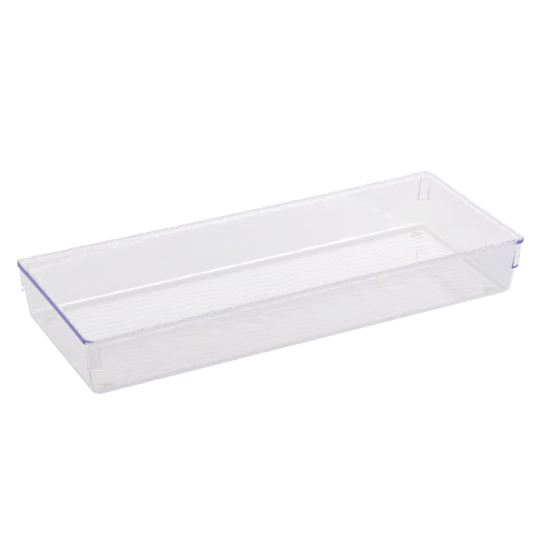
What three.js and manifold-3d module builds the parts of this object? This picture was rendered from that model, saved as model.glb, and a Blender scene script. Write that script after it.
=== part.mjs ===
// Clear drawer organizer insert: one injection-moulded plastic tray with drafted walls,
// an outward lip round the rim and a stacking lug outside each corner. It stands on
// four small round anti-slip pads. Nothing on it moves.
// Millimetres, +X along the length, +Z up. The origin is the centre of the footprint,
// at the level of the pads' undersides.
import * as THREE from "three";
import { mergeVertices } from "three/addons/utils/BufferGeometryUtils.js";
import Module from "manifold-3d";

// Driving dimensions
const LENGTH = 381; // over the lip
const WIDTH = 152.4; // over the lip
const HEIGHT = 52.4; // pads' undersides to the top of the rim
const WALL = 2; // thickness of the walls and the floor

const LIP_HEIGHT = 3.4;
const LIP_OVERHANG = 1.5; // how far the lip stands out from the wall under it
const RIM_RADIUS = 8.5; // plan radius of the lip's outer corners
const DRAFT_INSET = 5.1; // how far the walls lean in, from under the lip to the underside
const LONG_SIDE_BOW = 1.4; // inward bow of the rim at the middle of a long side
const SHORT_SIDE_BOW = 0.6; // the same on a short side

const OUTER_FILLET = 7; // between the walls and the underside
const INNER_FILLET = 5; // between the walls and the floor
const LIP_OUTER_ROUND = 1;
const LIP_INNER_ROUND = 0.6;
const COVE_HEIGHT = 3; // elliptical cove between the walls and the lip's underside
const COVE_DEPTH = 1.1;

const LUG_BOTTOM = 26.8; // height of the lugs' flat undersides
const LUG_DEPTH = 2.2; // how far a lug stands out from the wall at its underside
const LUG_OVERRUN = 1.2; // how far a lug runs along the long wall, past the corner arc
const LUG_END_ANGLE = 22; // degrees of the corner arc left bare next to the short wall

const PAD_RADIUS = 6.5;
const PAD_THICKNESS = 0.9;
const PAD_EDGE = 0.25; // chamfer round the underside
const GLUE_GAP = 0.1; // adhesive film between a pad and the tray
const PAD_X = 169; // pad centres, from the middle of the tray
const PAD_Y = 57;

// Mesh fineness
const CORNER_STEPS = 8;
const LONG_SIDE_STEPS = 8;
const SHORT_SIDE_STEPS = 4;
const FILLET_STEPS = 5;
const ROUND_STEPS = 2;
const COVE_STEPS = 3;
const PAD_STEPS = 32;

// Worked out from the above
const UNDERSIDE = PAD_THICKNESS + GLUE_GAP;
const FLOOR_TOP = UNDERSIDE + WALL;
const LIP_UNDERSIDE = HEIGHT - LIP_HEIGHT;
const WALL_RADIUS = RIM_RADIUS - LIP_OVERHANG; // plan radius of the walls' outer corners
const SLOPE = DRAFT_INSET / (LIP_UNDERSIDE - UNDERSIDE);
const LEAN = Math.atan(SLOPE);
const QUARTER = Math.PI / 2;

// Distance of the walls' outer face from the lip's outer face, at height z.
function wallInset(z) {
  return LIP_OVERHANG + SLOPE * (LIP_UNDERSIDE - z);
}

// Share of the rim's bow that the sides have at height z: none at the floor.
function bowShare(z) {
  return (z - UNDERSIDE) / (HEIGHT - UNDERSIDE);
}

// A point on the rounded rectangle at an inset from the lip's outer face. The corner is
// given by its signs, and the angle is counted from +X.
function cornerPoint(signX, signY, angle, inset, radius, z) {
  const x = signX * (LENGTH / 2 - inset - radius) + radius * Math.cos(angle);
  const y = signY * (WIDTH / 2 - inset - radius) + radius * Math.sin(angle);
  return new THREE.Vector3(x, y, z);
}

// The closed outline at one height, counter-clockwise seen from above.
function ring(inset, radius, z) {
  const corners = [[1, 1], [-1, 1], [-1, -1], [1, -1]];
  const points = [];
  corners.forEach(([signX, signY], index) => {
    for (let step = 0; step <= CORNER_STEPS; step += 1) {
      const angle = (index + step / CORNER_STEPS) * QUARTER;
      points.push(cornerPoint(signX, signY, angle, inset, radius, z));
    }
    const alongX = index % 2 === 0;
    const steps = alongX ? LONG_SIDE_STEPS : SHORT_SIDE_STEPS;
    const bow = (alongX ? LONG_SIDE_BOW : SHORT_SIDE_BOW) * bowShare(z);
    const start = points[points.length - 1];
    for (let step = 1; step < steps; step += 1) {
      const along = 1 - (2 * step) / steps; // 1 at the start of the side, -1 at its end
      const sag = bow * (1 - along * along);
      const x = alongX ? start.x * along : start.x - Math.sign(start.x) * sag;
      const y = alongX ? start.y - Math.sign(start.y) * sag : start.y * along;
      points.push(new THREE.Vector3(x, y, z));
    }
  });
  return points;
}

// A fillet between a level face and the drafted wall, from the level face to the wall.
function filletRings(levelZ, radius, thickness, planRadius) {
  const centreZ = levelZ + radius;
  const centreInset = wallInset(centreZ) + thickness + radius / Math.cos(LEAN);
  const rings = [];
  for (let step = 0; step <= FILLET_STEPS; step += 1) {
    const angle = LEAN + (1 - step / FILLET_STEPS) * (QUARTER - LEAN); // below the horizontal
    const inset = centreInset - radius * Math.cos(angle);
    const z = centreZ - radius * Math.sin(angle);
    const shrink = inset - wallInset(z) - thickness;
    rings.push(ring(inset, planRadius - shrink, z));
  }
  return rings;
}

// The cove under the lip, from the wall out to the lip's underside.
function coveRings() {
  const rings = [];
  for (let step = 0; step <= COVE_STEPS; step += 1) {
    const angle = (step / COVE_STEPS) * QUARTER;
    const z = LIP_UNDERSIDE - COVE_HEIGHT * (1 - Math.sin(angle));
    const inset = wallInset(z) - COVE_DEPTH * (1 - Math.cos(angle));
    rings.push(ring(inset, RIM_RADIUS - inset, z));
  }
  return rings;
}

// The lip, from its lower outer edge, over its two rounds, to the drafted inner face.
function lipRings() {
  const rings = [ring(0, RIM_RADIUS, LIP_UNDERSIDE)];
  for (let step = 0; step <= ROUND_STEPS; step += 1) {
    const angle = (step / ROUND_STEPS) * QUARTER;
    const inset = LIP_OUTER_ROUND * (1 - Math.cos(angle));
    const z = HEIGHT - LIP_OUTER_ROUND * (1 - Math.sin(angle));
    rings.push(ring(inset, RIM_RADIUS - inset, z));
  }
  const endZ = HEIGHT - LIP_INNER_ROUND * (1 - Math.sin(LEAN));
  const endInset = wallInset(endZ) + WALL;
  for (let step = 0; step <= ROUND_STEPS; step += 1) {
    const angle = LEAN + (1 - step / ROUND_STEPS) * (QUARTER - LEAN);
    const inset = endInset + LIP_INNER_ROUND * (Math.cos(angle) - Math.cos(LEAN));
    const z = HEIGHT - LIP_INNER_ROUND * (1 - Math.sin(angle));
    rings.push(ring(inset, WALL_RADIUS - WALL + endInset - inset, z));
  }
  return rings;
}

// The tray's section as rings, from the underside up the outside, over the rim, and
// down the inside to the floor.
function shellRings() {
  return [
    ...filletRings(UNDERSIDE, OUTER_FILLET, 0, WALL_RADIUS),
    ...coveRings(),
    ...lipRings(),
    ...filletRings(FLOOR_TOP, INNER_FILLET, WALL, WALL_RADIUS - WALL).reverse(),
  ];
}

// A closed solid from rings of equal length, with a flat cap on the first and the last.
function loft(rings, flip = false) {
  const count = rings[0].length;
  const positions = rings.flat().flatMap((point) => point.toArray());
  const triangles = [];
  const addTriangle = (a, b, c) => triangles.push(...(flip ? [a, c, b] : [a, b, c]));
  for (let level = 0; level < rings.length - 1; level += 1) {
    for (let i = 0; i < count; i += 1) {
      const next = (i + 1) % count;
      const low = level * count;
      const high = low + count;
      addTriangle(low + i, low + next, high + next);
      addTriangle(low + i, high + next, high + i);
    }
  }
  const last = (rings.length - 1) * count;
  for (let i = 1; i < count - 1; i += 1) {
    addTriangle(0, i + 1, i);
    addTriangle(last, last + i, last + i + 1);
  }
  const geometry = new THREE.BufferGeometry();
  geometry.setAttribute("position", new THREE.Float32BufferAttribute(positions, 3));
  geometry.setIndex(triangles);
  return geometry;
}

// A stacking lug: a wedge wrapped round the outside of one corner. It starts flush under
// the lip and ends in a flat step that rests on the rim of the tray below.
function lugGeometry(signX, signY) {
  const bite = WALL / 2; // how far the lug reaches into the wall, to join it
  const section = [
    { z: LUG_BOTTOM, out: -bite },
    { z: LUG_BOTTOM, out: LUG_DEPTH },
    { z: LIP_UNDERSIDE + bite, out: 0 },
    { z: LIP_UNDERSIDE + bite, out: -bite },
  ];
  const endAngle = THREE.MathUtils.degToRad(LUG_END_ANGLE);
  const stations = [{ angle: QUARTER, along: LUG_OVERRUN }];
  for (let step = 0; step <= CORNER_STEPS; step += 1) {
    const angle = QUARTER - (step / CORNER_STEPS) * (QUARTER - endAngle);
    stations.push({ angle, along: 0 });
  }
  const rings = stations.map(({ angle, along }) => section.map(({ z, out }) => {
    const point = cornerPoint(1, 1, angle, wallInset(z) - out, WALL_RADIUS + out, z);
    return new THREE.Vector3(signX * (point.x - along), signY * point.y, z);
  }));
  return loft(rings, signX * signY < 0);
}

const wasm = await Module();
wasm.setup();

function toSolid(geometry) {
  const merged = mergeVertices(geometry);
  return new wasm.Manifold(new wasm.Mesh({
    numProp: 3,
    vertProperties: new Float32Array(merged.attributes.position.array),
    triVerts: new Uint32Array(merged.index.array),
  }));
}

function toGeometry(solid) {
  const mesh = solid.getMesh();
  const geometry = new THREE.BufferGeometry();
  geometry.setAttribute("position", new THREE.BufferAttribute(mesh.vertProperties, 3));
  geometry.setIndex(new THREE.BufferAttribute(mesh.triVerts, 1));
  const flat = geometry.toNonIndexed();
  flat.computeVertexNormals();
  return flat;
}

// The tray: shell and four lugs in one moulding.
function makeTray() {
  let solid = toSolid(loft(shellRings()));
  for (const signX of [-1, 1]) {
    for (const signY of [-1, 1]) {
      solid = solid.add(toSolid(lugGeometry(signX, signY)));
    }
  }
  const material = new THREE.MeshStandardMaterial({
    color: 0xe9e6ef,
    roughness: 0.05,
    metalness: 0,
    transparent: true,
    opacity: 0.3,
  });
  const mesh = new THREE.Mesh(toGeometry(solid), material);
  mesh.name = "tray";
  return mesh;
}

// An anti-slip pad: a thin disc with its lower edge chamfered.
function makePad(name, x, y) {
  const profile = [
    new THREE.Vector2(0, 0),
    new THREE.Vector2(PAD_RADIUS - PAD_EDGE, 0),
    new THREE.Vector2(PAD_RADIUS, PAD_EDGE),
    new THREE.Vector2(PAD_RADIUS, PAD_THICKNESS),
    new THREE.Vector2(0, PAD_THICKNESS),
  ];
  const geometry = new THREE.LatheGeometry(profile, PAD_STEPS);
  geometry.rotateX(QUARTER);
  const material = new THREE.MeshStandardMaterial({ color: 0xd8cfb4, roughness: 0.45, metalness: 0 });
  const mesh = new THREE.Mesh(geometry, material);
  mesh.name = name;
  mesh.position.set(x, y, 0);
  return mesh;
}

const group = new THREE.Group();
group.add(makeTray());
for (const [side, x] of [["left", -PAD_X], ["right", PAD_X]]) {
  for (const [end, y] of [["front", -PAD_Y], ["back", PAD_Y]]) {
    group.add(makePad(`pad_${end}_${side}`, x, y));
  }
}

export default group;
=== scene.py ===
import math

import bmesh
import bpy
import numpy as np
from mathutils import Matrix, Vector
from mathutils.geometry import delaunay_2d_cdt


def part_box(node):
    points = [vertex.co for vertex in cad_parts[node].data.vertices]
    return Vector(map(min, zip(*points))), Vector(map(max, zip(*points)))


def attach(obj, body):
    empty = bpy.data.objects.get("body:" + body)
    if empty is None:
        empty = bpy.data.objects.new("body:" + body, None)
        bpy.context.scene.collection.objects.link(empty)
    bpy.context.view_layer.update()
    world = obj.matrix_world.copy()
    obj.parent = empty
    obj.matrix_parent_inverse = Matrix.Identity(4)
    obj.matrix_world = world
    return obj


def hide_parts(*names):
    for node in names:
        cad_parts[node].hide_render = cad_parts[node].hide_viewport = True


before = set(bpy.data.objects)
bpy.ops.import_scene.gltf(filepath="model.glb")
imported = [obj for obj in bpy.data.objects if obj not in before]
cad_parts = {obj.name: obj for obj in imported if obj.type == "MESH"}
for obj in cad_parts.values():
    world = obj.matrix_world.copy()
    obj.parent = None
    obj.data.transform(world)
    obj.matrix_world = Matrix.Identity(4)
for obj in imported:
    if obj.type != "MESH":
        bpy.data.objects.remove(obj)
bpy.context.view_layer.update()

# Overall sizes, from the CAD model
TRAY_LOW, TRAY_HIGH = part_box("tray")
LENGTH = TRAY_HIGH.x - TRAY_LOW.x
WIDTH = TRAY_HIGH.y - TRAY_LOW.y
UNDERSIDE = TRAY_LOW.z
HEIGHT = TRAY_HIGH.z

# The tray's section, as in the CAD model
WALL = 0.0020
FLOOR_TOP = UNDERSIDE + WALL
LIP_HEIGHT = 0.0034
LIP_UNDERSIDE = HEIGHT - LIP_HEIGHT
LIP_OVERHANG = 0.0015
RIM_RADIUS = 0.0085
WALL_RADIUS = RIM_RADIUS - LIP_OVERHANG
DRAFT_INSET = 0.0051
SLOPE = DRAFT_INSET / (LIP_UNDERSIDE - UNDERSIDE)
LEAN = math.atan(SLOPE)
LONG_SIDE_BOW = 0.0014
SHORT_SIDE_BOW = 0.0006
OUTER_FILLET = 0.0070
INNER_FILLET = 0.0050
LIP_OUTER_ROUND = 0.0010
LIP_INNER_ROUND = 0.0006
COVE_HEIGHT = 0.0030  # between the wall and the lip's underside
COVE_DEPTH = 0.0011

# Finer than in the CAD model
LIP_LOWER_ROUND = 0.00025  # on the lip's lower outer edge
LIP_MIDDLE = LIP_UNDERSIDE + LIP_HEIGHT / 3  # a level in the lip's upright outer face

# The stacking lugs
LUG_BOTTOM = 0.0268
LUG_DEPTH = 0.0022
LUG_OVERRUN = 0.0012
LUG_END_ANGLE = math.radians(22)
LUG_EDGE = 0.0003  # round on a lug's edges
LUG_EDGE_ROW = 2  # of lug_rings: the outer edge of the steps
COLUMN_GAP = 1.5  # from a lug's end face to the next plain column, in widths of its edge

# Painted shade at the plastic's edges, in the violet of its toner, where light running along inside
# the plastic comes out darkened; seen from outside and from inside the plastic
OUTER_SHADE_LAYER = "outer_painted_shade"
INNER_SHADE_LAYER = "inner_painted_shade"
RIGHT_LIP_SHADE = [0.6, 0.8, 1.0, 1.0, 1.0, 1.0, 1.0, 0.9, 0.6, 0.3]  # one a ring, going up
LEFT_LIP_SHADE = [0.6, 0.8, 1.0, 1.0, 1.0, 1.0, 1.0, 1.0, 1.0, 1.0, 1.0, 0.7, 0.2]
FACE_RINGS = 6  # the lip's rings that belong to its outer face
FACE_SHADE = 0.05  # the least painted shade on the lip's outer face
RIM_SHADE = 0.12  # the least on its top
EDGE_SHADE_FADE = 0.007  # along the long sides, from the right corners
RIGHT_LUG_SHADE = 3.0  # at the lugs' lower edges, so that it reaches well into their faces
LEFT_LUG_SHADE = 1.7
LEFT_STEP_SHADE = 0.3  # the least in the left lugs' steps
LEFT_LUG_ANGLE = math.radians(18)  # from where round the corners the left lugs' painted shade fades
LEFT_FACE_ANGLE = math.radians(22.5)  # the same in the lip's outer face at the left end
LEFT_RIM_ANGLE = math.radians(45)  # and in its top there
LUG_BAND = 0.0024  # height of the band of painted shade on the lugs
STREAK_SHADE = 1.0  # painted shade in the wall just under the left lugs' ends

# The wave lines on the floor
LINE_SPACING = 0.00694
LINE_OFFSET = 0.0031
WAVE_LENGTH = 0.047
WAVE_AMPLITUDE = 0.00205
WAVE_CREST = -0.003
RELIEF = 0.00006  # half the greatest height from trough to crest
RELIEF_LEAST = 0.35  # share of it where the lines are faintest
BEAT_LENGTH = WAVE_LENGTH / 2  # between two faint places, along X
BEAT_WIDTH = 5 * LINE_SPACING  # the same along Y
PATTERN_HALF_LENGTH = 0.175
PATTERN_HALF_WIDTH = 0.0620
PATTERN_FADE = 0.004
PATTERN_STEP_X = 0.0020
PATTERN_STEP_Y = 0.0007

# The anti-slip pads
PAD_TOP_ROUND = 0.00015
PAD_FOOT_ROUND = 0.00045
PAD_STEPS = 96  # round a pad
PAD_WAVER = 0.00012  # how far a pad's edge strays from a true circle
PAD_WAVES = 3  # round a pad's edge

# Mesh fineness
CORNER_STEPS = 24
SHORT_SIDE_STEPS = 10
LONG_SIDE_STEPS = 80
FILLET_STEPS = 12
ROUND_STEPS = 6
EDGE_STEPS = 3
QUARTER = math.pi / 2
MERGE_DISTANCE = 1e-6
TRIANGULATION_TOLERANCE = 1e-9  # as a share of the width
NORMAL_WEIGHT = 50  # of a face's area in the weighted normals

# The plastic
PLASTIC_IOR = 1.59
PLASTIC_ROUGHNESS = 0.045
STRESS_SCALE = 26
STRESS_DETAIL = 2
STRESS_DISTORTION = 0.6
STRESS_FLOW = (0.6, 1.0, 1.4)  # the pattern is longest along X
STRESS_COLOURS = [
    (0.34, (0.883, 0.872, 0.878)),
    (0.43, (0.887, 0.862, 0.886)),
    (0.50, (0.880, 0.866, 0.890)),
    (0.57, (0.872, 0.870, 0.896)),
    (0.66, (0.883, 0.872, 0.882)),
]
# dark violet of the painted shade at the plastic's edges
EDGE_SHADE_COLOUR = (0.03, 0.02, 0.24, 1)
TONER_COLOUR = (0.1, 0.0, 0.7, 1)
TONER_DENSITY = 0.15

# The pads' rubber
PAD_IOR = 1.22  # lower than a real elastomer's, so that the pads stay faint
PAD_ROUGHNESS = 0.16
PAD_MOTTLE_SCALE = 130
PAD_MOTTLE_DETAIL = 2
PAD_COLOURS = [(0.45, (0.76, 0.70, 0.54)), (0.75, (1.0, 1.0, 1.0))]
PAD_YELLOW_FADE = 35  # a metre, away from a pad's middle

# The studio
WHITE = (1, 1, 1, 1)
STAGE_LEVEL = -0.0002
STAGE_REACH = 20  # from its middle to its sides
# Sine of the elevation, brightness
SKY = [(0.0, 0.9), (0.38, 1.62), (0.50, 1.65), (0.65, 0.85), (1.0, 0.85)]
SKY_BRIGHTEST = 1.65
STAGE_ALBEDO = 0.1
STAGE_GLOW = (0.58, 1.01)  # from its dim to its bright side
GLOW_REACH = 0.5  # of the change between the two, to each side of the tray's middle
STAGE_SIDE = (0.62, 0.78, 0)  # towards the bright side
SHADE_CORNER = (0.184, 0.070, 0)  # of the rectangle that the tray's foot shades
SHADE_REACH = (-0.030, 0.010)  # across the rectangle's edge, from inside to outside
SHADE = [(0.0, 1.0), (0.40, 0.99), (0.70, 0.92), (0.85, 0.94), (1.0, 1.0)]  # share of the glow
PANEL_TOWARDS = (0.40, -0.91, 0.12)
PANEL_DISTANCE = 2.2
PANEL_SIZE = (1.6, 0.4)
PANEL_BRIGHTNESS = 5.0
LIGHT_BOUNCES = 1024

# The camera
CAMERA_AIM = (-0.0028, 0.0057, 0.0333)
CAMERA_DISTANCE = 1.4754
CAMERA_AZIMUTH = math.radians(-26.897)
CAMERA_ELEVATION = math.radians(27.199)
CAMERA_LENS = 123.95  # millimetres, as is the sensor
CAMERA_SENSOR = 36


def wall_inset(z):
    """Distance of the walls' outer face from the lip's outer face, at height z."""
    return LIP_OVERHANG + SLOPE * (LIP_UNDERSIDE - z)


def lug_share(turn):
    """Share of a lug's depth on its rounded edge: turn is 0 at the end face and 1 where it is full."""
    return 1 - LUG_EDGE / LUG_DEPTH * (1 - math.sin(turn * QUARTER))


def edge_travel(turn):
    """How far a lug's rounded edge has moved away from the end face."""
    return LUG_EDGE * (1 - math.cos(turn * QUARTER))


def quarter_stations():
    """Columns of a quarter of the outline, from the middle of a short side to the middle of
    a long one. Each has the angle round the corner, the shares of the corner's X and Y, the
    distance past the corner along the long side, and the share of the lug's depth."""
    stations = []
    turns = [step / EDGE_STEPS for step in range(EDGE_STEPS + 1)]
    for step in range(SHORT_SIDE_STEPS):
        stations.append((0.0, 1.0, step / SHORT_SIDE_STEPS, 0.0, 0.0))
    edge_angle = LUG_EDGE / (WALL_RADIUS + LUG_DEPTH)
    angles = [QUARTER * step / CORNER_STEPS for step in range(CORNER_STEPS + 1)]
    for angle in angles:
        if angle < LUG_END_ANGLE:
            stations.append((angle, 1.0, 1.0, 0.0, 0.0))
    stations.append((LUG_END_ANGLE, 1.0, 1.0, 0.0, 0.0))
    for turn in turns:
        angle = LUG_END_ANGLE + edge_angle * edge_travel(turn) / LUG_EDGE
        stations.append((angle, 1.0, 1.0, 0.0, lug_share(turn)))
    for angle in angles:
        if angle > LUG_END_ANGLE + COLUMN_GAP * edge_angle:
            stations.append((angle, 1.0, 1.0, 0.0, 1.0))
    for turn in reversed(turns):
        stations.append((QUARTER, 1.0, 1.0, LUG_OVERRUN - edge_travel(turn), lug_share(turn)))
    stations.append((QUARTER, 1.0, 1.0, LUG_OVERRUN, 0.0))
    for step in range(1, LONG_SIDE_STEPS + 1):
        stations.append((QUARTER, 1 - step / LONG_SIDE_STEPS, 1.0, 0.0, 0.0))
    return np.array(stations)


ANGLES, SHARES_X, SHARES_Y, OVERRUNS, LUG_PARTS = quarter_stations().T


def outline(inset, radius, z, lug=0.0):
    """The closed outline at one height, counter-clockwise seen from above. inset is measured
    from the lip's outer face, and lug is how far the lugs stand out there."""
    centre_x = LENGTH / 2 - inset - radius
    centre_y = WIDTH / 2 - inset - radius
    share_x = SHARES_X - OVERRUNS / centre_x
    reach = radius + lug * LUG_PARTS
    bow = (z - UNDERSIDE) / (HEIGHT - UNDERSIDE)
    x = share_x * centre_x + reach * np.cos(ANGLES)
    y = SHARES_Y * centre_y + reach * np.sin(ANGLES)
    x = x - bow * SHORT_SIDE_BOW * (1 - SHARES_Y**2)
    y = y - bow * LONG_SIDE_BOW * (1 - share_x**2)
    quarter = np.stack([x, y, np.full_like(x, z)], axis=1)
    quarters = []
    for sign_x, sign_y in ((1, 1), (-1, 1), (-1, -1), (1, -1)):
        piece = quarter * (sign_x, sign_y, 1)
        quarters.append(piece if sign_x * sign_y > 0 else piece[::-1])
    return np.concatenate(quarters)


def fillet_rings(level, radius, thickness, plan_radius):
    """Outlines of a fillet between a level face and the drafted wall, level face first."""
    centre_z = level + radius
    centre_inset = wall_inset(centre_z) + thickness + radius / math.cos(LEAN)
    rings = []
    for step in range(FILLET_STEPS + 1):
        angle = QUARTER + (LEAN - QUARTER) * step / FILLET_STEPS
        inset = centre_inset - radius * math.cos(angle)
        z = centre_z - radius * math.sin(angle)
        shrink = inset - wall_inset(z) - thickness
        rings.append(outline(inset, plan_radius - shrink, z))
    return rings


def lug_rings():
    """Outlines up the outside of the wall, from just under the lugs to the lip's underside."""
    rings = []
    for z in (LUG_BOTTOM - LUG_EDGE, LUG_BOTTOM):
        rings.append(outline(wall_inset(z), WALL_RADIUS, z))

    def lug_at(z):
        return LUG_DEPTH * (LIP_UNDERSIDE - z) / (LIP_UNDERSIDE - LUG_BOTTOM)

    for step in range(EDGE_STEPS + 1):
        turn = step / EDGE_STEPS
        z = LUG_BOTTOM + edge_travel(turn)
        rings.append(outline(wall_inset(z), WALL_RADIUS, z, lug_share(turn) * lug_at(z)))
    z = LUG_BOTTOM + LUG_BAND
    rings.append(outline(wall_inset(z), WALL_RADIUS, z, lug_at(z)))
    for step in range(ROUND_STEPS + 1):
        angle = step / ROUND_STEPS * QUARTER
        z = LIP_UNDERSIDE - COVE_HEIGHT * (1 - math.sin(angle))
        inset = wall_inset(z) - COVE_DEPTH * (1 - math.cos(angle))
        rings.append(outline(inset, RIM_RADIUS - inset, z, lug_at(z)))
    return rings


def lip_rings():
    """Outlines over the lip, from its lower outer edge to the drafted inner face."""
    rings = []
    for step in range(EDGE_STEPS + 1):
        angle = step / EDGE_STEPS * QUARTER
        inset = LIP_LOWER_ROUND * (1 - math.sin(angle))
        z = LIP_UNDERSIDE + LIP_LOWER_ROUND * (1 - math.cos(angle))
        rings.append(outline(inset, RIM_RADIUS - inset, z))
    rings.append(outline(0, RIM_RADIUS, LIP_MIDDLE))
    for step in range(ROUND_STEPS + 1):
        angle = step / ROUND_STEPS * QUARTER
        inset = LIP_OUTER_ROUND * (1 - math.cos(angle))
        z = HEIGHT - LIP_OUTER_ROUND * (1 - math.sin(angle))
        rings.append(outline(inset, RIM_RADIUS - inset, z))
    end_z = HEIGHT - LIP_INNER_ROUND * (1 - math.sin(LEAN))
    end_inset = wall_inset(end_z) + WALL
    for step in range(ROUND_STEPS + 1):
        angle = QUARTER + (LEAN - QUARTER) * step / ROUND_STEPS
        inset = end_inset + LIP_INNER_ROUND * (math.cos(angle) - math.cos(LEAN))
        z = HEIGHT - LIP_INNER_ROUND * (1 - math.sin(angle))
        rings.append(outline(inset, WALL_RADIUS - WALL + end_inset - inset, z))
    return rings


def relief(x, y):
    """Height of the wave lines over the floor's level. They are clear and faint by turns, and
    fade out at the pattern's border."""
    wave = WAVE_AMPLITUDE * np.cos(2 * math.pi * (x - WAVE_CREST) / WAVE_LENGTH)
    lines = np.cos(2 * math.pi * (y - LINE_OFFSET - wave) / LINE_SPACING)
    fade_x = np.clip((PATTERN_HALF_LENGTH - np.abs(x)) / PATTERN_FADE, 0, 1)
    fade_y = np.clip((PATTERN_HALF_WIDTH - np.abs(y)) / PATTERN_FADE, 0, 1)
    fade = smooth(fade_x) * smooth(fade_y)
    beat = np.sin(2 * math.pi * (x / BEAT_LENGTH + y / BEAT_WIDTH))
    strength = RELIEF_LEAST + (1 - RELIEF_LEAST) * (1 + beat) / 2
    return RELIEF * strength * fade * lines


def add_rings(mesh, rings):
    """Adds the outlines and the faces between them. Returns each outline's vertices."""
    rows = [[mesh.verts.new(point) for point in ring] for ring in rings]
    for low, high in zip(rows, rows[1:]):
        for index in range(len(low)):
            after = (index + 1) % len(low)
            mesh.faces.new((low[index], low[after], high[after], high[index]))
    return rows


def add_floor(mesh, border):
    """Adds the floor's upper face inside the border: a grid that carries the wave lines,
    and flat triangles from there to the border."""
    columns = round(2 * PATTERN_HALF_LENGTH / PATTERN_STEP_X)
    rows = round(2 * PATTERN_HALF_WIDTH / PATTERN_STEP_Y)
    xs = np.linspace(-PATTERN_HALF_LENGTH, PATTERN_HALF_LENGTH, columns + 1)
    ys = np.linspace(-PATTERN_HALF_WIDTH, PATTERN_HALF_WIDTH, rows + 1)
    grid = []
    for y in ys:
        heights = FLOOR_TOP + relief(xs, y)
        grid.append([mesh.verts.new((x, y, z)) for x, z in zip(xs, heights)])
    for low, high in zip(grid, grid[1:]):
        for index in range(columns):
            mesh.faces.new((low[index], low[index + 1], high[index + 1], high[index]))
    edge = grid[0] + [row[-1] for row in grid[1:]]
    edge += grid[-1][-2::-1] + [row[0] for row in grid[-2:0:-1]]
    loops = [unique_loop(border), edge]
    vertices = loops[0] + loops[1]
    links = []
    for loop in loops:
        first = 0 if loop is loops[0] else len(loops[0])
        links += [(first + i, first + (i + 1) % len(loop)) for i in range(len(loop))]
    flat = [Vector((v.co.x, v.co.y)) / WIDTH for v in vertices]
    result = delaunay_2d_cdt(flat, links, [], 1, TRIANGULATION_TOLERANCE)
    points, triangles, sources = result[0], result[2], result[3]
    limit_x = (PATTERN_HALF_LENGTH - MERGE_DISTANCE) / WIDTH
    limit_y = (PATTERN_HALF_WIDTH - MERGE_DISTANCE) / WIDTH
    for triangle in triangles:
        middle = sum((points[i] for i in triangle), Vector((0, 0))) / len(triangle)
        if abs(middle.x) > limit_x or abs(middle.y) > limit_y:
            mesh.faces.new([vertices[sources[i][0]] for i in triangle])


def unique_loop(loop):
    """The loop's vertices without those that lie on the one before."""
    kept = []
    for vertex in loop:
        if not kept or (vertex.co - kept[-1].co).length > MERGE_DISTANCE:
            kept.append(vertex)
    if (kept[0].co - kept[-1].co).length <= MERGE_DISTANCE:
        kept.pop()
    return kept


def make_tray():
    """The moulded tray: shell, lip, lugs and patterned floor in one closed skin."""
    mesh = bmesh.new()
    for name in (OUTER_SHADE_LAYER, INNER_SHADE_LAYER):
        mesh.verts.layers.float.new(name)
    lower = fillet_rings(UNDERSIDE, OUTER_FILLET, 0, WALL_RADIUS)
    lugs = lug_rings()
    lip = lip_rings()
    upper = fillet_rings(FLOOR_TOP, INNER_FILLET, WALL, WALL_RADIUS - WALL)[::-1]
    rows = add_rings(mesh, lower + lugs + lip + upper)
    first_lip = len(lower) + len(lugs)
    mark_lug_shade(mesh, rows[len(lower):first_lip])
    mark_lip_shade(mesh, rows[first_lip:first_lip + len(lip)])
    mesh.faces.new(unique_loop(rows[0])[::-1])
    add_floor(mesh, rows[-1])
    bmesh.ops.remove_doubles(mesh, verts=mesh.verts, dist=MERGE_DISTANCE)
    return finish_piece(mesh, "clear_tray")


def per_column(values):
    """A value for each column of the outline, from the ones of a quarter."""
    return np.concatenate([values, values[::-1], values, values[::-1]])


def end_share():
    """1 in the columns of the tray's ends and corners, fading out along the long sides."""
    away = (1 - SHARES_X) * (LENGTH / 2 - RIM_RADIUS)
    return per_column(smooth(1 - away / EDGE_SHADE_FADE))


def turn_share(angle):
    """1 in the columns of the tray's ends, from there fading out between one and two times
    the angle round the corners."""
    return per_column(smooth(2 - ANGLES / angle))


def smooth(share):
    """Share from 0 to 1 with soft ends."""
    share = np.clip(share, 0, 1)
    return share * share * (3 - 2 * share)


def mark_lip_shade(mesh, rows):
    """Painted shade in the toner's dark violet on the lip's outer face and top at the tray's ends, and
    faintly all round."""
    layer = mesh.verts.layers.float[OUTER_SHADE_LAYER]
    right_share = end_share()
    for index, row in enumerate(rows):
        on_face = index < FACE_RINGS
        least = FACE_SHADE if on_face else RIM_SHADE
        left_shade = LEFT_LIP_SHADE[index] if index < len(LEFT_LIP_SHADE) else 0
        right_shade = RIGHT_LIP_SHADE[index] if index < len(RIGHT_LIP_SHADE) else 0
        left_share = turn_share(LEFT_FACE_ANGLE if on_face else LEFT_RIM_ANGLE)
        for vertex, left, right in zip(row, left_shade * left_share, right_shade * right_share):
            vertex[layer] = max(least, left if vertex.co.x < 0 else right)


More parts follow.
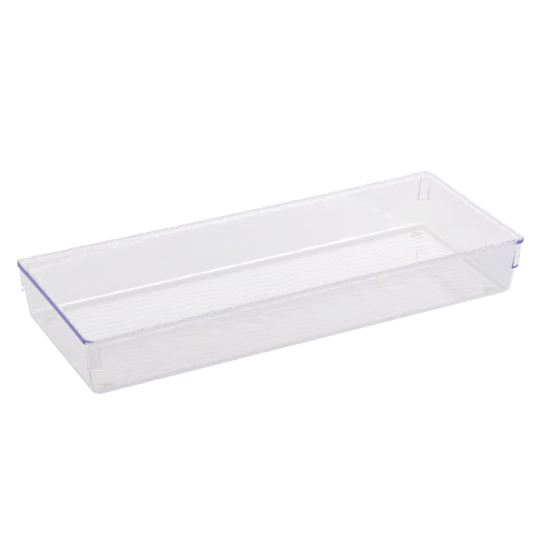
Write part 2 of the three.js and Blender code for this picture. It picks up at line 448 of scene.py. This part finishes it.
def mark_lug_shade(mesh, rows):
    """Painted shade in the toner's dark violet along the lugs' lower edges, on up the right ones' end
    faces, and in a streak under the left ones' ends."""
    outer = mesh.verts.layers.float[OUTER_SHADE_LAYER]
    inner = mesh.verts.layers.float[INNER_SHADE_LAYER]
    parts = per_column(LUG_PARTS)
    left_share = turn_share(LEFT_LUG_ANGLE)
    at_end = per_column(np.abs(ANGLES - LUG_END_ANGLE) < QUARTER / CORNER_STEPS)
    for row in rows[:LUG_EDGE_ROW]:
        for vertex, streak in zip(row, at_end):
            if streak and vertex.co.x < 0:
                vertex[outer] = STREAK_SHADE
    band = rows[LUG_EDGE_ROW:LUG_EDGE_ROW + EDGE_STEPS + 2]
    for index, row in enumerate(band):
        for vertex, part, left in zip(row, parts, left_share):
            right = vertex.co.x > 0
            shade_amount = RIGHT_LUG_SHADE if right else LEFT_LUG_SHADE * left
            if part > 0 and (index < EDGE_STEPS + 1 or (right and part == lug_share(0.0))):
                vertex[outer] = shade_amount
                if index == 0:
                    vertex[inner] = max(shade_amount, LEFT_STEP_SHADE)


def make_pad(name):
    """A die-cut anti-slip pad with a soft edge, standing on the floor: one closed skin."""
    low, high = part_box(name)
    middle = (low + high) / 2
    radius = (high.x - low.x) / 2
    profile = []
    for step in range(ROUND_STEPS + 1):
        angle = step / ROUND_STEPS * QUARTER
        inset = PAD_FOOT_ROUND * (1 - math.sin(angle))
        profile.append((inset, low.z + PAD_FOOT_ROUND * (1 - math.cos(angle))))
    for step in range(ROUND_STEPS + 1):
        angle = step / ROUND_STEPS * QUARTER
        inset = PAD_TOP_ROUND * (1 - math.cos(angle))
        profile.append((inset, high.z - PAD_TOP_ROUND * (1 - math.sin(angle))))
    turns = np.linspace(0, 2 * math.pi, PAD_STEPS, endpoint=False)
    waver = PAD_WAVER * (1 - np.cos(PAD_WAVES * turns + middle.x / radius)) / 2
    rings = []
    for inset, z in profile:
        reach = radius - waver - inset
        x = reach * np.cos(turns)
        y = reach * np.sin(turns)
        rings.append(np.stack([x, y, np.full_like(x, z - middle.z)], axis=1))
    mesh = bmesh.new()
    rows = add_rings(mesh, rings)
    mesh.faces.new(rows[0][::-1])
    mesh.faces.new(rows[-1])
    pad = finish_piece(mesh, name.replace("pad", "soft_pad"))
    pad.location = middle
    return pad


def finish_piece(mesh, name):
    """Turns the mesh into a smoothly shaded object whose large faces keep their own normals."""
    for face in mesh.faces:
        face.smooth = True
    data = bpy.data.meshes.new(name)
    mesh.to_mesh(data)
    mesh.free()
    piece = bpy.data.objects.new(name, data)
    bpy.context.scene.collection.objects.link(piece)
    weighted = piece.modifiers.new("weighted_normals", "WEIGHTED_NORMAL")
    weighted.mode = "FACE_AREA"
    weighted.weight = NORMAL_WEIGHT
    return piece


# Materials


def new_material(name):
    """An empty material with one Principled shader."""
    material = bpy.data.materials.new(name)
    material.use_nodes = True
    nodes = material.node_tree.nodes
    return material, nodes, material.node_tree.links, nodes["Principled BSDF"]


def fill_ramp(ramp, stops):
    """Gives a colour ramp its stops, from pairs of a position and a colour."""
    elements = ramp.color_ramp.elements
    while len(elements) < len(stops):
        elements.new(0.5)
    for element, (position, colour) in zip(elements, stops):
        element.position = position
        element.color = (*colour, 1)


def greys(levels, whole=1):
    """A ramp's stops from pairs of a position and a brightness, as shares of the whole."""
    return [(position, (brightness / whole,) * 3) for position, brightness in levels]


def clear_plastic():
    """Clear moulded polystyrene with a trace of violet toner. Its colour drifts faintly with the
    moulding stress, and painted shade in dark violet darkens it where the mesh is marked for it."""
    material, nodes, links, shader = new_material("clear_plastic")
    stress = nodes.new("ShaderNodeTexNoise")
    stress.inputs["Scale"].default_value = STRESS_SCALE
    stress.inputs["Detail"].default_value = STRESS_DETAIL
    stress.inputs["Distortion"].default_value = STRESS_DISTORTION
    flow = nodes.new("ShaderNodeMapping")
    flow.inputs["Scale"].default_value = STRESS_FLOW
    place = nodes.new("ShaderNodeTexCoord")
    fringes = nodes.new("ShaderNodeValToRGB")
    fill_ramp(fringes, STRESS_COLOURS)
    links.new(place.outputs["Object"], flow.inputs["Vector"])
    links.new(flow.outputs["Vector"], stress.inputs["Vector"])
    links.new(stress.outputs["Fac"], fringes.inputs["Fac"])
    side = nodes.new("ShaderNodeNewGeometry")
    # painted shade: the marked amount, the outer one seen from outside and the inner one from inside,
    # takes the base colour towards dark violet
    shade_amount = nodes.new("ShaderNodeMix")
    for name, socket in ((OUTER_SHADE_LAYER, "A"), (INNER_SHADE_LAYER, "B")):
        shade_attribute = nodes.new("ShaderNodeAttribute")
        shade_attribute.attribute_name = name
        links.new(shade_attribute.outputs["Fac"], shade_amount.inputs[socket])
    shaded_base = nodes.new("ShaderNodeMix")
    shaded_base.data_type = "RGBA"
    shaded_base.inputs["B"].default_value = EDGE_SHADE_COLOUR
    links.new(side.outputs["Backfacing"], shade_amount.inputs["Factor"])
    links.new(shade_amount.outputs["Result"], shaded_base.inputs["Factor"])
    links.new(fringes.outputs["Color"], shaded_base.inputs["A"])
    links.new(shaded_base.outputs["Result"], shader.inputs["Base Color"])
    shader.inputs["Roughness"].default_value = PLASTIC_ROUGHNESS
    shader.inputs["IOR"].default_value = PLASTIC_IOR
    shader.inputs["Transmission Weight"].default_value = 1.0
    toner = nodes.new("ShaderNodeVolumeAbsorption")
    toner.inputs["Color"].default_value = TONER_COLOUR
    toner.inputs["Density"].default_value = TONER_DENSITY
    links.new(toner.outputs["Volume"], nodes["Material Output"].inputs["Volume"])
    return material


def pad_rubber():
    """Clear, soft anti-slip elastomer, yellowed in blotches round the middle."""
    material, nodes, links, shader = new_material("pad_rubber")
    place = nodes.new("ShaderNodeTexCoord")
    mottle = nodes.new("ShaderNodeTexNoise")
    mottle.inputs["Scale"].default_value = PAD_MOTTLE_SCALE
    mottle.inputs["Detail"].default_value = PAD_MOTTLE_DETAIL
    middle = nodes.new("ShaderNodeVectorMath")
    middle.operation = "LENGTH"
    spread = nodes.new("ShaderNodeMath")
    spread.operation = "MULTIPLY_ADD"
    spread.inputs[1].default_value = PAD_YELLOW_FADE
    colours = nodes.new("ShaderNodeValToRGB")
    fill_ramp(colours, PAD_COLOURS)
    links.new(place.outputs["Object"], mottle.inputs["Vector"])
    links.new(place.outputs["Object"], middle.inputs[0])
    links.new(middle.outputs["Value"], spread.inputs[0])
    links.new(mottle.outputs["Fac"], spread.inputs[2])
    links.new(spread.outputs["Value"], colours.inputs["Fac"])
    links.new(colours.outputs["Color"], shader.inputs["Base Color"])
    shader.inputs["Roughness"].default_value = PAD_ROUGHNESS
    shader.inputs["IOR"].default_value = PAD_IOR
    shader.inputs["Transmission Weight"].default_value = 1.0
    return material


def foot_shade(nodes, links, place):
    """The share of the stage's glow that is left where the tray's foot shades it."""
    size = nodes.new("ShaderNodeVectorMath")
    size.operation = "ABSOLUTE"
    past = nodes.new("ShaderNodeVectorMath")
    past.operation = "SUBTRACT"
    past.inputs[1].default_value = SHADE_CORNER
    split = nodes.new("ShaderNodeSeparateXYZ")
    largest = nodes.new("ShaderNodeMath")
    largest.operation = "MAXIMUM"
    across = nodes.new("ShaderNodeMapRange")
    across.inputs["From Min"].default_value, across.inputs["From Max"].default_value = SHADE_REACH
    share = nodes.new("ShaderNodeValToRGB")
    fill_ramp(share, greys(SHADE))
    links.new(place, size.inputs[0])
    links.new(size.outputs["Vector"], past.inputs[0])
    links.new(past.outputs["Vector"], split.inputs["Vector"])
    links.new(split.outputs["X"], largest.inputs[0])
    links.new(split.outputs["Y"], largest.inputs[1])
    links.new(largest.outputs["Value"], across.inputs["Value"])
    links.new(across.outputs["Result"], share.inputs["Fac"])
    return share.outputs["Color"]


def stage_white():
    """The studio's pale surface. It is white in view. As the light that the plastic passes
    and reflects it is dimmer, more so on one side and under the tray's foot."""
    material, nodes, links, shader = new_material("stage_white")
    shader.inputs["Base Color"].default_value = (STAGE_ALBEDO, STAGE_ALBEDO, STAGE_ALBEDO, 1)
    shader.inputs["Roughness"].default_value = 1.0
    shader.inputs["Specular IOR Level"].default_value = 0.0
    shader.inputs["Emission Color"].default_value = WHITE
    place = nodes.new("ShaderNodeTexCoord")
    along = nodes.new("ShaderNodeVectorMath")
    along.operation = "DOT_PRODUCT"
    along.inputs[1].default_value = STAGE_SIDE
    glow = nodes.new("ShaderNodeMapRange")
    glow.inputs["From Min"].default_value = -GLOW_REACH
    glow.inputs["From Max"].default_value = GLOW_REACH
    glow.inputs["To Min"].default_value, glow.inputs["To Max"].default_value = STAGE_GLOW
    path = nodes.new("ShaderNodeLightPath")
    choice = nodes.new("ShaderNodeMix")
    choice.inputs["B"].default_value = 1.0
    shaded = nodes.new("ShaderNodeMath")
    shaded.operation = "MULTIPLY"
    links.new(place.outputs["Object"], along.inputs[0])
    links.new(along.outputs["Value"], glow.inputs["Value"])
    links.new(glow.outputs["Result"], shaded.inputs[0])
    links.new(foot_shade(nodes, links, place.outputs["Object"]), shaded.inputs[1])
    links.new(shaded.outputs["Value"], choice.inputs["A"])
    links.new(path.outputs["Is Camera Ray"], choice.inputs["Factor"])
    links.new(choice.outputs["Result"], shader.inputs["Emission Strength"])
    return material


# Studio


def make_stage():
    """The floor that the tray stands on."""
    mesh = bmesh.new()
    bmesh.ops.create_grid(mesh, x_segments=1, y_segments=1, size=STAGE_REACH)
    data = bpy.data.meshes.new("stage_floor")
    mesh.to_mesh(data)
    mesh.free()
    floor = bpy.data.objects.new("stage_floor", data)
    floor.location.z = STAGE_LEVEL
    bpy.context.scene.collection.objects.link(floor)
    data.materials.append(stage_white())


def make_sky():
    """Soft light from all round, even in azimuth and brightest in a ring 22 to 30 degrees up.
    It is white in view."""
    world = bpy.data.worlds.new("studio")
    world.use_nodes = True
    bpy.context.scene.world = world
    nodes = world.node_tree.nodes
    links = world.node_tree.links
    place = nodes.new("ShaderNodeTexCoord")
    split = nodes.new("ShaderNodeSeparateXYZ")
    ramp = nodes.new("ShaderNodeValToRGB")
    fill_ramp(ramp, greys(SKY, SKY_BRIGHTEST))
    links.new(place.outputs["Generated"], split.inputs["Vector"])
    links.new(split.outputs["Z"], ramp.inputs["Fac"])
    light = nodes["Background"]
    light.inputs["Strength"].default_value = SKY_BRIGHTEST
    links.new(ramp.outputs["Color"], light.inputs["Color"])
    seen = nodes.new("ShaderNodeBackground")
    seen.inputs["Color"].default_value = WHITE
    path = nodes.new("ShaderNodeLightPath")
    choice = nodes.new("ShaderNodeMixShader")
    links.new(path.outputs["Is Camera Ray"], choice.inputs["Fac"])
    links.new(light.outputs["Background"], choice.inputs[1])
    links.new(seen.outputs["Background"], choice.inputs[2])
    links.new(choice.outputs["Shader"], nodes["World Output"].inputs["Surface"])


def make_panel():
    """A wide, low light panel on the camera's side of the tray."""
    towards = Vector(PANEL_TOWARDS).normalized()
    width, height = PANEL_SIZE
    light = bpy.data.lights.new("front_panel", "AREA")
    light.shape = "RECTANGLE"
    light.size = width
    light.size_y = height
    light.energy = PANEL_BRIGHTNESS * math.pi * width * height
    panel = bpy.data.objects.new("front_panel", light)
    panel.location = towards * PANEL_DISTANCE
    panel.rotation_euler = towards.to_track_quat("Z", "Y").to_euler()
    bpy.context.scene.collection.objects.link(panel)


def make_camera():
    """The camera, at the product shot's angle."""
    level = math.cos(CAMERA_ELEVATION)
    x = math.sin(CAMERA_AZIMUTH) * level
    y = -math.cos(CAMERA_AZIMUTH) * level
    back = Vector((x, y, math.sin(CAMERA_ELEVATION)))
    data = bpy.data.cameras.new("camera")
    data.lens = CAMERA_LENS
    data.sensor_width = CAMERA_SENSOR
    camera = bpy.data.objects.new("camera", data)
    camera.location = Vector(CAMERA_AIM) + back * CAMERA_DISTANCE
    camera.rotation_euler = (-back).to_track_quat("-Z", "Y").to_euler()
    bpy.context.scene.collection.objects.link(camera)
    bpy.context.scene.camera = camera


def set_light_paths():
    """Lets light run along inside the clear plastic for as long as it would, and shows the
    colours without a film look."""
    cycles = bpy.context.scene.cycles
    cycles.max_bounces = LIGHT_BOUNCES
    cycles.glossy_bounces = LIGHT_BOUNCES
    cycles.transmission_bounces = LIGHT_BOUNCES
    bpy.context.scene.view_settings.view_transform = "Standard"


make_camera()
make_stage()
make_sky()
make_panel()
set_light_paths()

tray = make_tray()
tray.data.materials.append(clear_plastic())
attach(tray, "root")
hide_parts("tray")

rubber = pad_rubber()
for name in sorted(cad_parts):
    if name.startswith("pad_"):
        pad = make_pad(name)
        pad.data.materials.append(rubber)
        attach(pad, "root")
        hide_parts(name)
